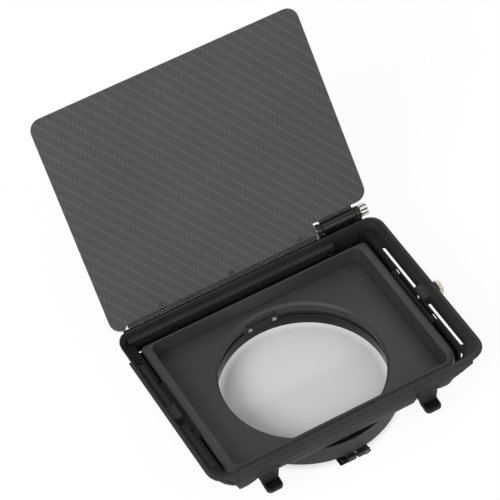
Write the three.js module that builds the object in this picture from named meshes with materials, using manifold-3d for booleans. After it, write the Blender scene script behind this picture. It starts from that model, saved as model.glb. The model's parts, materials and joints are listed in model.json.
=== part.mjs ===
// A clip-on matte box, lying on the back face of its clamp ring, with its top flag open.
// Millimetres. The origin is the centre of the clamp ring's back face, +Z runs forward along
// the lens axis, +Y towards the hinge of the top flag, +X to the right of someone who looks in.

import * as THREE from 'three';
import { mergeVertices } from 'three/addons/utils/BufferGeometryUtils.js';
import Module from 'manifold-3d';

const wasm = await Module();
wasm.setup();

// Shared clearances and mesh fineness
const seatGap = 0.3;
const faceGap = 0.4;
const cutOverrun = 2;
const weldDistance = 0.0001;
const cornerSteps = 5;
const ringSides = 72;
const pinSides = 16;
const headSides = 20;

// Lens clamp and collar
const collarDepth = 12.4;
const boreStep = 1.8;
const collarWall = 2.2;
const clampWall = 4.2;
const clampDepth = 7.7;
const clampStandOff = 5;
const clampChamfer = 1.2;
const sealDepth = 4.2;
const sealWall = 1.8;
const sealGrooveDepth = 2.7;
const collarLipDrop = 1;
const earWidth = 9;
const earReach = 5.5;
const earThickness = 3;
const earCount = 4;

// Lug and screw that close the clamp ring
const lugWidth = 20;
const lugHeight = 4.6;
const lugStandOut = 2.4;
const lugChamfer = 1.2;
const lugSlit = 1.4;
const lugSlitOffset = 0.8;
const lugPocketLength = 4.6;
const lugPocketFloor = 0.6;
const clampScrewRadius = 1;
const clampScrewHeadRadius = 1.7;
const clampScrewHeadLength = 2.6;
const clampNutWidth = 3.4;
const clampNutLength = 2.4;
const clampScrewInset = 1.7;

// Spring clip at the top of the bore
const clipWidth = 20;
const clipHeight = 4.4;
const clipThickness = 0.8;
const clipPadWidth = 24;
const clipBack = 8.2;
const clipScrewInset = 1.9;
const clipScrewRadius = 0.8;
const clipScrewHeadRadius = 1.4;
const clipScrewHeadHeight = 0.7;
const clipScrewLength = 3;

// Stage: the well with the round opening
const stageWidth = 150.4;
const stageTop = 55.5;
const stageBottom = -52.3;
const stageCorner = 3;
const stageLowCorner = 12;
const sideBorder = 6;
const topBorder = 2.1;
const bottomBorder = 4.3;
const wellDepth = 12.3;
const wellCorner = 4.5;
const wellDraft = 0.6;
const borderChamfer = 1.2;
const borderChamferWidth = 1.9;
const plateThickness = 2;
const plateCorner = 5;
const plateLowCorner = 15;
const floorPadRise = 0.3;
const floorPadMargin = 0.6;
const openingLap = 0.5;
const openingBevel = 1.5;
const tongueReach = 5.7;

// Stage screws, driven from behind
const stageScrewRadius = 1;
const stageScrewLength = 7;
const stageScrewHeadRadius = 2.2;
const stageScrewHeadHeight = 1.2;
const stageScrewInset = 10.7;
const collarScrewLength = 4.2;

// Hood: flared rim, ledge with slots, skirt and walls
const ledgeWidth = 5.85;
const topRoom = 6;
const bottomReach = 8.7;
const hoodCorner = 9;
const ledgeRise = 2.1;
const ledgeThickness = 2.8;
const rimRise = 6.8;
const rimRounding = 0.8;
const rimLipDrop = 0.4;
const rimLip = 2.4;
const flareSpread = 2.4;
const footInset = 3;
const footDrop = 2.3;
const footCorner = 20;
const crestCorner = 11;
const ledgeCorner = 18.5;
const topWall = 2;
const ribReach = 3.3;
const ribThickness = 1.6;
const ribClearance = 0.9;
const bottomWall = 3.8;
const slotLength = 39;
const slotWidth = 2.6;
const slotOffset = 24.6;
const slotInset = 4.1;
const skirtWall = 1.9;
const skirtFootRise = 8.3;
const reliefDepth = 1.5;
const reliefHeight = 22;
const reliefCorner = 10;
const clawWidth = 14;
const clawInset = 30.2;
const clawLip = 2.4;
const clawThickness = 1.9;

// Bottom edge of the hood and its two latches
const latchMiddle = -3.9;
const latchInset = 23.9;
const latchWidth = 13.2;
const latchNotchGap = 0.5;
const latchPivotDrop = 0.4;
const latchKnuckleRadius = 2;
const latchPlate = 1.8;
const latchPinRadius = 0.6;
const latchPinEngage = 2.2;
const latchSpringLength = 3;
const latchSpringWall = 0.4;
const latchHookWidth = 6;
const latchHookOffset = 1.5;
const latchHookThickness = 2.2;
const latchHookOverlap = 1.3;
const latchTabWidth = 10.4;
const latchTabShift = 0.6;
const latchTabReach = 6.6;
const latchTabDrop = 9;
const latchTabThickness = 1.5;
const latchWaistDrop = 2.6;
const latchTabSlope = 1.3;
const latchTabCorner = 2.6;
const latchPadThickness = 0.7;
const latchPadMargin = 0.9;
const apronDepth = 7;
const apronLeftInset = 15.7;
const apronRightInset = 8.4;
const bossDepth = 3.1;
const bossLeftReach = 18.8;
const bossLeftInset = 14.2;
const bossRightReach = 14.2;
const bossRightWidth = 4.2;
const bossRightDrop = 1.5;
const bossRightFlank = 2.4;
const bossStepRise = 2.1;
const bossSlope = 1.6;
const bossRound = 1.2;
const tongueDrop = 3.1;
const tongueWidth = 5.2;
const tongueRound = 2.4;
const wallEndInset = 11;
const wallEndRise = 5;
const bulge = 0.3;
const bulgeRetreat = 2.2;

// Bar that holds the top edge of the stage
const barLeftReach = 4.8;
const barRightInset = 19.2;
const barDepth = 3.6;
const barHeight = 7.4;
const barDrop = 3.8;
const barChamfer = 0.9;
const barScrewRadius = 1;
const barScrewHeadRadius = 1.7;
const barScrewHeadHeight = 0.8;
const barScrewHeight = 1.9;
const barScrewLeftInset = 29.5;
const barScrewRightInset = 3;

// Side rests, the thumbscrew and its threaded bush
const restWidth = 1.8;
const restHeight = 5.6;
const restBottom = 7.4;
const restTop = 25.6;
const restFoot = -19.8;
const restTabShort = 1.2;
const restTabThickness = 2.4;
const restTabLengthEnd = 3.4;
const restTabLengthFoot = 5.4;
const cutoutDepth = 2;
const cutoutMargin = 0.5;
const thumbTravel = 0.7;
const thumbHeight = 0.7;
const blockWidth = 10;
const blockHeight = 8;
const bossRadius = 4.5;
const bossLength = 1.9;
const bushRadius = 2.6;
const bushLength = 5;
const thumbShankRadius = 1.5;
const thumbHeadRadius = 4.7;
const thumbHeadLength = 2.8;
const thumbRidge = 0.35;
const thumbRidges = 20;

// Hinge of the top flag
const hingeRise = 4.6;
const hingeForward = 1.7;
const bracketInset = 37.8;
const bracketLength = 28.6;
const bracketThickness = 1.9;
const saddleReach = 3.7;
const saddleGap = 0.75;
const bracketDrop = 6.3;
const bracketHeight = 10;
const earLeafThickness = 2.6;
const earLeafRadius = 3.8;
const knuckleRadius = 3.65;
const knuckleGap = 0.3;
const washerThickness = 0.6;
const washerRadius = 3.2;
const hingeScrewRadius = 1.3;
const hingeKnobRadius = 4;
const hingeKnobLength = 5.2;
const hingeKnobRidges = 12;
const hingeKnobRidge = 0.5;
const bracketScrewRadius = 0.9;
const bracketScrewHeadRadius = 1.6;
const bracketScrewHeadHeight = 0.8;
const bracketScrewInset = 7.5;

// Top flag, in the frame of its hinge: x along the hinge, y up the flag, z out of its face
const flagTilt = 52.15;
const flagShift = 0.8;
const flagTrim = 3.2;
const flagTip = 127.9;
const flagThickness = 1.2;
const flagFace = 1.44;
const flagCorner = 7;
const flagHeel = 4.2;
const flagLeafEdge = 1.7;
const flagNotchTop = 5.7;
const flagNotchGap = 0.7;
const flagLeafInset = 9.4;
const leafThickness = 1.4;
const leafRise = 3.2;
const leafBridgeTop = 9.4;
const leafBridgeBottom = 5;
const flagScrewRadius = 0.9;
const flagScrewHeadRadius = 1.5;
const flagScrewHeadHeight = 0.35;
const flagScrewLeftInset = 23.4;
const flagScrewRightInset = 10.5;
const flagScrewHeight = -0.3;
const flagScrewLength = 2.9;

// Edges and rounds that follow the well
const stageSide = stageWidth / 2;
const wellSide = stageSide - sideBorder;
const wellTop = stageTop - topBorder;
const wellBottom = stageBottom + bottomBorder;
const openingRadius = openingLap - wellBottom;
const boreRadius = openingRadius + boreStep;
const collarRadius = boreRadius + clampWall + seatGap + collarWall;
const lugReach = collarRadius + lugStandOut;

// Levels along the lens axis
const collarBack = clampStandOff;
const plateBack = collarBack + collarDepth;
const floorZ = plateBack + plateThickness;
const borderZ = floorZ + wellDepth;
const ledgeZ = borderZ + ledgeRise;
const ledgeBack = ledgeZ - ledgeThickness;
const rimZ = ledgeZ + rimRise;

// Edges across the lens axis
const openingSide = stageSide + seatGap + restWidth + seatGap / 2;
const wallSide = openingSide + ledgeWidth;
const hoodSide = wallSide + flareSpread + rimLip;
const innerTop = stageTop + topRoom;
const hoodTop = innerTop + topWall;
const hoodBottom = stageBottom - bottomReach;
const innerBottom = hoodBottom + bottomWall;
const openingBottom = innerBottom + flareSpread;
const latchLeftX = latchMiddle - stageSide + latchInset;
const latchRightX = latchMiddle + stageSide - latchInset;
const latchPivotHeight = ledgeBack - latchPivotDrop;
const latchPivotY = hoodBottom + latchKnuckleRadius;
const bracketLeft = hoodSide - bracketInset;
const hingeAxisY = hoodTop + hingeRise;
const hingeAxisZ = rimZ + hingeForward;
const flagSide = hoodSide - flagTrim / 2;
const flagLeafLeft = flagShift - flagSide + flagLeafInset;
const flagNotchLeft = bracketLeft - flagNotchGap;
const latchHalf = latchWidth / 2 + latchNotchGap;
const thumbZ = borderZ + thumbHeight;

// Solid helpers

function toSolid(geometry) {
  const bare = geometry.clone();
  bare.deleteAttribute('normal');
  bare.deleteAttribute('uv');
  const merged = mergeVertices(bare, weldDistance);
  return new wasm.Manifold(new wasm.Mesh({
    numProp: 3,
    vertProperties: new Float32Array(merged.attributes.position.array),
    triVerts: new Uint32Array(merged.index.array),
  }));
}

function fuse(...solids) {
  return solids.reduce((whole, next) => whole.add(next));
}

function carve(solid, ...cutters) {
  return cutters.reduce((rest, cutter) => rest.subtract(cutter), solid);
}

function block(x, y, z) {
  const geometry = new THREE.BoxGeometry(x[1] - x[0], y[1] - y[0], z[1] - z[0]);
  geometry.translate((x[0] + x[1]) / 2, (y[0] + y[1]) / 2, (z[0] + z[1]) / 2);
  return toSolid(geometry);
}

// A round bar along one axis, from one station to another, about a centre line.
function bar(axis, from, to, radius, centre, sides = pinSides) {
  const geometry = new THREE.CylinderGeometry(radius, radius, to - from, sides);
  geometry.translate(0, (from + to) / 2, 0);
  if (axis === 'x') {
    geometry.rotateZ(-Math.PI / 2);
    geometry.translate(0, centre[0], centre[1]);
  } else if (axis === 'y') {
    geometry.translate(centre[0], 0, centre[1]);
  } else {
    geometry.rotateX(Math.PI / 2);
    geometry.translate(centre[0], centre[1], 0);
  }
  return toSolid(geometry);
}

// A turned ring or disc about the lens axis, from radius and height pairs.
function turned(profile, sides = ringSides) {
  const geometry = new THREE.LatheGeometry(profile.map(([r, z]) => new THREE.Vector2(r, z)), sides);
  geometry.rotateX(Math.PI / 2);
  return toSolid(geometry);
}

function ring(inner, outer, back, front, sides = ringSides) {
  return turned([[inner, back], [outer, back], [outer, front], [inner, front], [inner, back]], sides);
}

function extruded(points, depth) {
  const shape = new THREE.Shape(points.map(([a, b]) => new THREE.Vector2(a, b)));
  return new THREE.ExtrudeGeometry(shape, { depth, bevelEnabled: false });
}

// An outline drawn in x and y, raised from one height to another.
function plan(points, back, front) {
  const geometry = extruded(points, front - back);
  geometry.translate(0, 0, back);
  return toSolid(geometry);
}

// An outline drawn in y and z, carried along x.
function sideways(points, from, to) {
  const geometry = extruded(points, to - from);
  const axes = [new THREE.Vector3(0, 1, 0), new THREE.Vector3(0, 0, 1), new THREE.Vector3(1, 0, 0)];
  geometry.applyMatrix4(new THREE.Matrix4().makeBasis(...axes));
  geometry.translate(from, 0, 0);
  return toSolid(geometry);
}

// An outline drawn in x and z, carried along y.
function upright(points, low, high) {
  const geometry = extruded(points, high - low);
  const axes = [new THREE.Vector3(1, 0, 0), new THREE.Vector3(0, 0, 1), new THREE.Vector3(0, -1, 0)];
  geometry.applyMatrix4(new THREE.Matrix4().makeBasis(...axes));
  geometry.translate(0, high, 0);
  return toSolid(geometry);
}

// A closed outline from corner points, each with its own rounding radius.
function filleted(corners) {
  const points = [];
  corners.forEach(([x, y, radius], i) => {
    if (radius === 0) {
      points.push([x, y]);
      return;
    }
    const here = new THREE.Vector2(x, y);
    const [toPrevious, toNext] = [corners.at(i - 1), corners[(i + 1) % corners.length]].map(
      ([a, b]) => new THREE.Vector2(a, b).sub(here).normalize());
    const half = toPrevious.angleTo(toNext) / 2;
    const bisector = toPrevious.clone().add(toNext).normalize();
    const centre = here.clone().addScaledVector(bisector, radius / Math.sin(half));
    const start = here.clone().addScaledVector(toPrevious, radius / Math.tan(half)).sub(centre);
    const end = here.clone().addScaledVector(toNext, radius / Math.tan(half)).sub(centre);
    const sweep = Math.sign(start.cross(end)) * start.angleTo(end);
    for (let step = 0; step <= cornerSteps; step += 1) {
      const spoke = start.clone().rotateAround(new THREE.Vector2(), sweep * step / cornerSteps);
      points.push([centre.x + spoke.x, centre.y + spoke.y]);
    }
  });
  return points;
}

function roundedPoints(x0, x1, y0, y1, radius, lowRadius = radius) {
  return filleted([[x1, y1, radius], [x0, y1, radius], [x0, y0, lowRadius], [x1, y0, lowRadius]]);
}

function roundedPlate(x0, x1, y0, y1, radius, back, front, lowRadius = radius) {
  return plan(roundedPoints(x0, x1, y0, y1, radius, lowRadius), back, front);
}

// A frame whose cross-section is a closed loop of rounded outlines at their own heights.
function frameLoft(sections) {
  const loops = sections.map((s) => (
    roundedPoints(-s.side, s.side, s.bottom, s.top, s.corner, s.lowCorner)));
  const count = loops[0].length;
  const positions = [];
  loops.forEach((loop, level) => loop.forEach(([x, y]) => positions.push(x, y, sections[level].z)));
  const index = [];
  loops.forEach((_, level) => {
    const above = (level + 1) % loops.length;
    for (let i = 0; i < count; i += 1) {
      const next = (i + 1) % count;
      const [a, b] = [level * count + i, level * count + next];
      const [c, d] = [above * count + next, above * count + i];
      index.push(a, b, c, a, c, d);
    }
  });
  const geometry = new THREE.BufferGeometry();
  geometry.setAttribute('position', new THREE.Float32BufferAttribute(positions, 3));
  geometry.setIndex(index);
  return toSolid(geometry);
}

// A knurled head along x: a round bar with ridges like a coarse gear.
function knurled(from, to, radius, ridges, ridge, centre) {
  const points = [];
  for (let i = 0; i < 2 * ridges; i += 1) {
    const angle = i * Math.PI / ridges;
    const reach = i % 2 ? radius - ridge : radius;
    points.push([centre[0] + reach * Math.cos(angle), centre[1] + reach * Math.sin(angle)]);
  }
  return sideways(points, from, to);
}

function toGeometry(solid) {
  const mesh = solid.getMesh();
  const geometry = new THREE.BufferGeometry();
  geometry.setAttribute('position', new THREE.BufferAttribute(mesh.vertProperties, mesh.numProp));
  geometry.setIndex(new THREE.BufferAttribute(mesh.triVerts, 1));
  geometry.computeVertexNormals();
  return geometry;
}

// Finishes

const finish = (color, roughness, metalness) => () => (
  new THREE.MeshStandardMaterial({ color, roughness, metalness, flatShading: true }));
const moulded = finish(0x1c1c1e, 0.5, 0);
const stageBlack = finish(0x2a2a2d, 0.55, 0);
const anodised = finish(0x1a1a1c, 0.35, 0.6);
const glossBlack = finish(0x0c0c0d, 0.15, 0);
const softBlack = finish(0x101011, 0.9, 0);
const carbon = finish(0x3b3b3e, 0.45, 0);
const steel = finish(0xb9bbbd, 0.3, 1);
const brass = finish(0xb08d4a, 0.35, 1);

function piece(name, solid, material) {
  const mesh = new THREE.Mesh(toGeometry(solid), material());
  mesh.name = name;
  return mesh;
}

// One screw at each place, numbered from the first.
function screwSet(name, places, screwAt) {
  return places.map((place, i) => piece(`${name}_${i + 1}`, screwAt(place), steel));
}

// Lens clamp

const clampOuter = boreRadius + clampWall;
const lugScrewY = -lugReach + clampScrewInset;
const lugScrewZ = lugHeight / 2;
const lugSide = lugWidth / 2;

function clampRing() {
  const body = turned([
    [boreRadius, 0], [clampOuter - clampChamfer, 0], [clampOuter, clampChamfer],
    [clampOuter, clampDepth], [boreRadius, clampDepth], [boreRadius, 0],
  ]);
  const lug = sideways([
    [-boreRadius - clampWall / 2, 0], [-boreRadius - clampWall / 2, lugHeight], [-lugReach, lugHeight],
    [-lugReach, lugChamfer], [-lugReach + lugChamfer, 0],
  ].reverse(), -lugSide, lugSide);
  const pocket = (from, to) => block(
    [from, to], [-lugReach - cutOverrun, -collarRadius + clampWall],
    [lugPocketFloor, clampDepth + cutOverrun]);
  const slit = block(
    [lugSlitOffset - lugSlit / 2, lugSlitOffset + lugSlit / 2],
    [-lugReach - cutOverrun, -boreRadius + clampWall], [-cutOverrun, clampDepth + cutOverrun]);
  const screwHole = bar('x', -lugSide, lugSide, clampScrewRadius + seatGap, [lugScrewY, lugScrewZ]);
  const lowered = block(
    [-lugSide - cutOverrun, lugSide + cutOverrun], [-lugReach - cutOverrun, -clampOuter - seatGap],
    [lugHeight, clampDepth + cutOverrun]);
  return piece('clamp_ring', carve(
    fuse(body, carve(lug, lowered,
      pocket(-lugSide - cutOverrun, -lugSide + lugPocketLength),
      pocket(lugSide - lugPocketLength, lugSide + cutOverrun))),
    slit, screwHole), anodised);
}

function clampScrew() {
  const headStart = -lugSide + lugPocketLength - seatGap - clampScrewHeadLength;
  const head = bar('x', headStart, headStart + clampScrewHeadLength, clampScrewHeadRadius,
    [lugScrewY, lugScrewZ], headSides);
  const shank = bar('x', headStart, lugSide - seatGap, clampScrewRadius, [lugScrewY, lugScrewZ]);
  return piece('clamp_screw', fuse(head, shank), steel);
}

function clampNut() {
  const start = lugSide - lugPocketLength + seatGap;
  const half = clampNutWidth / 2;
  const body = block([start, start + clampNutLength],
    [lugScrewY - half, lugScrewY + half], [lugScrewZ - half, lugScrewZ + half]);
  const hole = bar('x', start - cutOverrun, start + clampNutLength + cutOverrun,
    clampScrewRadius + seatGap, [lugScrewY, lugScrewZ]);
  return piece('clamp_nut', carve(body, hole), steel);
}

// Collar

const grooveRadius = boreRadius + sealGrooveDepth;
const grooveFront = clampDepth + sealDepth + faceGap;
const lipRadius = boreRadius - collarLipDrop;
const clipY = Math.sqrt(boreRadius ** 2 - (clipWidth / 2) ** 2);

function earPlaces() {
  const places = [];
  for (let i = 0; i < earCount; i += 1) {
    const angle = (i + 0.5) * 2 * Math.PI / earCount;
    const radius = collarRadius + earReach / 2;
    places.push([radius * Math.cos(angle), radius * Math.sin(angle)]);
  }
  return places;
}

function collarRing() {
  let body = ring(lipRadius, collarRadius, collarBack, plateBack);
  for (const place of earPlaces()) {
    body = fuse(body, bar('z', plateBack - earThickness, plateBack, earWidth / 2, place, headSides));
  }
  const counterbore = bar('z', collarBack - cutOverrun, clampDepth, clampOuter + seatGap, [0, 0], ringSides);
  const groove = carve(
    bar('z', clampDepth - seatGap, grooveFront, grooveRadius, [0, 0], ringSides),
    block([-clipPadWidth / 2, clipPadWidth / 2], [clipY, collarRadius], [0, plateBack]));
  const flat = block([-clipWidth / 2 - seatGap, clipWidth / 2 + seatGap], [0, clipY],
    [collarBack, plateBack]);
  const holes = earPlaces().map((place) => (
    bar('z', plateBack - earThickness - cutOverrun, plateBack + cutOverrun,
      stageScrewRadius + seatGap, place)));
  const clipHoles = clipScrewPlaces().map((x) => (
    bar('y', clipY - cutOverrun, clipY + clipScrewLength, clipScrewRadius + seatGap, [x, clipMiddleZ])));
  return piece('collar_ring', carve(body, counterbore, groove, flat, ...holes, ...clipHoles), stageBlack);
}

function lightSeal() {
  const back = clampDepth + seatGap;
  const outside = grooveRadius - seatGap;
  const body = ring(outside - sealWall, outside, back, back + sealDepth - seatGap);
  const gap = block([-clipPadWidth / 2 - seatGap, clipPadWidth / 2 + seatGap], [0, collarRadius],
    [0, plateBack]);
  return piece('light_seal', carve(body, gap), softBlack);
}

const clipMiddleZ = clipBack + clipHeight / 2;

function clipScrewPlaces() {
  return [-clipWidth / 2 + clipScrewInset, clipWidth / 2 - clipScrewInset];
}

function boreClip() {
  const front = clipY - seatGap;
  const strip = block([-clipWidth / 2, clipWidth / 2], [front - clipThickness, front],
    [clipBack, clipBack + clipHeight]);
  const holes = clipScrewPlaces().map((x) => (
    bar('y', front - clipThickness - cutOverrun, front + cutOverrun, clipScrewRadius + seatGap,
      [x, clipMiddleZ])));
  return piece('bore_clip', carve(strip, ...holes), anodised);
}

function boreClipScrews() {
  const seat = clipY - seatGap - clipThickness;
  return screwSet('bore_clip_screw', clipScrewPlaces(), (x) => fuse(
    bar('y', seat - clipScrewHeadHeight, seat, clipScrewHeadRadius, [x, clipMiddleZ], headSides),
    bar('y', seat - clipScrewHeadHeight, clipY + clipScrewLength - faceGap, clipScrewRadius,
      [x, clipMiddleZ])));
}

// Stage

const frameSeat = floorZ;
const floorFace = floorZ + floorPadRise;
const padSide = wellSide - wellDraft - floorPadMargin;
const screwColumn = (stageSide + wellSide) / 2;
const tongueTop = stageTop + tongueReach;

function stageScrewPlaces() {
  const rows = [wellBottom + stageScrewInset, (wellTop + wellBottom) / 2, wellTop - stageScrewInset];
  return rows.flatMap((y) => [[-screwColumn, y], [screwColumn, y]]);
}

function stagePlate() {
  const side = openingSide + skirtWall;
  const sheet = roundedPlate(-side, side, stageBottom, tongueTop, plateCorner, plateBack, floorZ,
    plateLowCorner);
  const pad = roundedPlate(-padSide, padSide, wellBottom + wellDraft + floorPadMargin,
    wellTop - floorPadMargin, wellCorner, plateBack, floorFace);
  const body = fuse(sheet, pad);
  const hole = turned([
    [0, plateBack - cutOverrun], [openingRadius, plateBack - cutOverrun],
    [openingRadius, floorFace - openingBevel],
    [openingRadius + openingBevel + cutOverrun, floorFace + cutOverrun],
    [0, floorFace + cutOverrun],
  ]);
  const holes = stageScrewPlaces().map((place) => (
    bar('z', plateBack - cutOverrun, floorZ + cutOverrun, stageScrewRadius + seatGap, place)));
  const collarHoles = earPlaces().map((place) => (
    bar('z', plateBack - cutOverrun, floorZ - faceGap, stageScrewRadius + seatGap, place)));
  return piece('stage_plate', carve(body, hole, ...holes, ...collarHoles), stageBlack);
}

function stageFrame() {
  const outer = {
    side: stageSide, top: stageTop, bottom: stageBottom, corner: stageCorner, lowCorner: stageLowCorner,
  };
  const crown = {
    side: stageSide - borderChamferWidth,
    top: stageTop - borderChamfer,
    bottom: stageBottom + borderChamferWidth,
    corner: stageCorner,
    lowCorner: stageLowCorner - borderChamferWidth,
  };
  const innerTopLoop = {
    side: wellSide + wellDraft / 2, top: wellTop, bottom: wellBottom - wellDraft / 2, corner: wellCorner,
  };
  const innerFloorLoop = {
    side: wellSide - wellDraft, top: wellTop, bottom: wellBottom + wellDraft, corner: wellCorner,
  };
  const body = frameLoft([
    { ...outer, z: frameSeat },
    { ...outer, z: borderZ - borderChamfer },
    { ...crown, z: borderZ },
    { ...innerTopLoop, z: borderZ },
    { ...innerFloorLoop, z: frameSeat },
  ]);
  const holes = stageScrewPlaces().map((place) => (
    bar('z', frameSeat - cutOverrun, plateBack + stageScrewLength, stageScrewRadius + seatGap, place)));
  return piece('stage_frame', carve(body, ...holes), stageBlack);
}

function stageScrews() {
  return screwSet('stage_screw', stageScrewPlaces(), (place) => fuse(
    bar('z', plateBack - stageScrewHeadHeight, plateBack, stageScrewHeadRadius, place, headSides),
    bar('z', plateBack - stageScrewHeadHeight, plateBack + stageScrewLength - faceGap,
      stageScrewRadius, place)));
}

function collarScrews() {
  const seat = plateBack - earThickness;
  return screwSet('collar_screw', earPlaces(), (place) => fuse(
    bar('z', seat - stageScrewHeadHeight, seat, stageScrewHeadRadius, place, headSides),
    bar('z', seat - stageScrewHeadHeight, seat + collarScrewLength, stageScrewRadius, place)));
}

// Hood

const cutoutFloor = floorZ + restBottom - seatGap;
const notchTop = latchPivotHeight + latchKnuckleRadius + latchNotchGap;

function rimSections() {
  const outer = (inset, depth) => ({
    side: hoodSide - inset, top: hoodTop - inset, bottom: hoodBottom + inset,
    corner: hoodCorner - inset, lowCorner: crestCorner - inset, z: rimZ - depth,
  });
  const inner = (spread, lowCorner, z) => ({
    side: wallSide + spread, top: innerTop, bottom: openingBottom - spread, corner: hoodCorner - rimLip,
    lowCorner, z,
  });
  const foot = {
    side: hoodSide - footInset, top: hoodTop, bottom: hoodBottom + footDrop,
    corner: hoodCorner - footInset / 2, lowCorner: footCorner, z: ledgeBack,
  };
  return [
    foot,
    outer(0, rimRounding),
    outer(rimRounding / 2, rimRounding / 4),
    outer(rimRounding * 2, 0),
    inner(flareSpread, crestCorner - rimLip, rimZ - rimLipDrop),
    inner(0, ledgeCorner, ledgeZ),
    inner(0, ledgeCorner, ledgeBack),
  ];
}

// The rim's upper left corner stands back a little from the side wall.
function cornerRelief() {
  const around = {
    side: hoodSide + cutOverrun, top: hoodTop + cutOverrun, bottom: hoodBottom - cutOverrun,
    corner: hoodCorner,
  };
  const kept = (inset) => ({
    side: hoodSide - inset, top: hoodTop + seatGap, bottom: hoodBottom, corner: reliefCorner,
  });
  const cutter = frameLoft([
    { ...around, z: ledgeBack - cutOverrun },
    { ...around, z: rimZ + cutOverrun },
    { ...kept(reliefDepth), z: rimZ + cutOverrun },
    { ...kept(reliefDepth), z: rimZ - rimRounding },
    { ...kept(reliefDepth + footInset), z: ledgeBack - cutOverrun },
  ]);
  return cutter.intersect(block([-hoodSide - cutOverrun, 0],
    [hoodTop - reliefHeight, hoodTop + cutOverrun], [ledgeBack - cutOverrun, rimZ + cutOverrun]));
}

function ledgePlate() {
  const lap = rimLip / 3;
  const sheet = roundedPlate(-wallSide - lap, wallSide + lap,
    openingBottom - lap, innerTop + lap, hoodCorner - lap, ledgeBack, ledgeZ, ledgeCorner);
  const opening = roundedPlate(-openingSide, openingSide, openingBottom, innerTop, wellCorner,
    ledgeBack - cutOverrun, ledgeZ + cutOverrun);
  return carve(sheet, opening);
}

function skirt() {
  const back = floorZ + seatGap;
  const outer = roundedPlate(-openingSide - skirtWall, openingSide + skirtWall,
    stageBottom - skirtWall, innerTop + skirtWall, plateCorner, back, ledgeBack + ledgeThickness / 2);
  const inner = roundedPlate(-openingSide, openingSide, stageBottom - plateCorner - cutOverrun, innerTop,
    wellCorner, back - cutOverrun, ledgeZ);
  const belowFoot = block([-hoodSide, hoodSide], [hoodBottom, stageBottom + skirtFootRise], [0, rimZ]);
  return carve(outer, inner, belowFoot);
}

// Claws behind the top skirt that hook under the tongue of the stage plate.
function claws() {
  const lipBack = plateBack - seatGap - clawThickness;
  return [-1, 1].map((side) => {
    const middle = side * (stageSide - clawInset);
    const x = [middle - clawWidth / 2, middle + clawWidth / 2];
    return fuse(
      block(x, [innerTop, innerTop + skirtWall], [lipBack, floorZ + ledgeThickness]),
      block(x, [innerTop - clawLip, innerTop + skirtWall], [lipBack, lipBack + clawThickness]));
  });
}

// Below the rim the bottom wall hangs deeper in the middle and carries a boss for each latch.
function bottomWallSolid() {
  const [apronZ, bossZ] = [ledgeBack - apronDepth, ledgeBack - bossDepth];
  const [apronLeft, apronRight] = [latchLeftX + apronLeftInset, latchRightX - apronRightInset];
  const [bossLeft, bossInner] = [latchLeftX - bossLeftReach, latchLeftX + bossLeftInset];
  const bossRight = latchRightX + bossRightReach;
  const [tongueLeft, tongueZ] = [bossLeft + bossSlope / 2, bossZ - tongueDrop];
  const rightZ = bossZ - bossRightDrop;
  const crest = rimZ - rimRounding;
  const [wallEnd, endZ] = [hoodSide - wallEndInset, ledgeBack + wallEndRise];
  const face = hoodBottom + bulge;
  const front = upright(filleted([
    [-wallEnd, crest, 0], [-wallEnd, endZ, 0], [bossLeft - bossSlope / 2, bossZ + bossStepRise, bossRound],
    [tongueLeft, tongueZ, tongueRound], [tongueLeft + tongueWidth, tongueZ, tongueRound],
    [latchLeftX - latchHalf, bossZ, 0], [bossInner, bossZ, bossRound],
    [apronLeft, apronZ, bossRound], [apronRight, apronZ, bossRound],
    [apronRight + bossSlope / 2, bossZ, bossRound], [latchRightX + latchHalf, bossZ, 0],
    [bossRight - bossRightWidth, rightZ, bossRound], [bossRight, rightZ, bossRound],
    [bossRight + bossRightFlank, ledgeBack, bossRound], [wallEnd, endZ, 0], [wallEnd, crest, 0],
  ]), hoodBottom - cutOverrun, openingBottom);
  const side = sideways([
    [face, crest], [face, ledgeZ], [face + bulge, latchPivotHeight],
    [face + bulgeRetreat / 2, (apronZ + latchPivotHeight) / 2], [face + bulgeRetreat, apronZ],
    [openingBottom, apronZ], [openingBottom, ledgeZ],
  ].reverse(), -hoodSide, hoodSide);
  return front.intersect(side);
}

function latchNotch(x) {
  return block([x - latchHalf, x + latchHalf], [hoodBottom - cutOverrun, innerBottom + cutOverrun / 2],
    [0, notchTop]);
}

function latchPinHole(x) {
  const reach = latchHalf + latchPinEngage;
  return bar('x', x - reach, x + reach, latchPinRadius + seatGap, [latchPivotY, latchPivotHeight]);
}

function sideSlots() {
  const inner = wallSide - slotInset + seatGap;
  const slots = [];
  for (const side of [-1, 1]) {
    for (const end of [-1, 1]) {
      const x = [side * (inner + slotWidth), side * inner].sort((a, b) => a - b);
      const middle = end * slotOffset;
      slots.push(roundedPlate(x[0], x[1], middle - slotLength / 2, middle + slotLength / 2, slotWidth / 3,
        ledgeBack - cutOverrun, ledgeZ + cutOverrun));
    }
  }
  return slots;
}

// Room for the ears of a rest, and beside the clamp for its travel.
function sideCutout(side) {
  const notch = (depth, low, high, floor) => block(
    [side * (openingSide - cutOverrun), side * (openingSide + depth)].sort((a, b) => a - b),
    [low - cutoutMargin, high + cutoutMargin], [floor, ledgeZ + cutOverrun]);
  const earFloor = cutoutFloor + restHeight - restTabThickness;
  const travel = side > 0 ? thumbTravel + seatGap : seatGap / 2;
  return fuse(notch(travel, restFoot, restTop, cutoutFloor),
    notch(cutoutDepth, restTop - restTabLengthEnd, restTop, earFloor),
    notch(cutoutDepth, restFoot, restFoot + restTabLengthFoot, earFloor));
}

// A rib behind the top edge that keeps light out under the flag's foot.
function topRib() {
  const top = hingeAxisZ - flagHeel - ribClearance;
  return block([hoodCorner - hoodSide, bracketLeft - seatGap], [hoodTop - topWall / 2, hoodTop + ribReach],
    [top - ribThickness, top]);
}

const blockInner = openingSide + thumbTravel + seatGap;
const blockOuter = wallSide + rimLip / 3;

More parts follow.
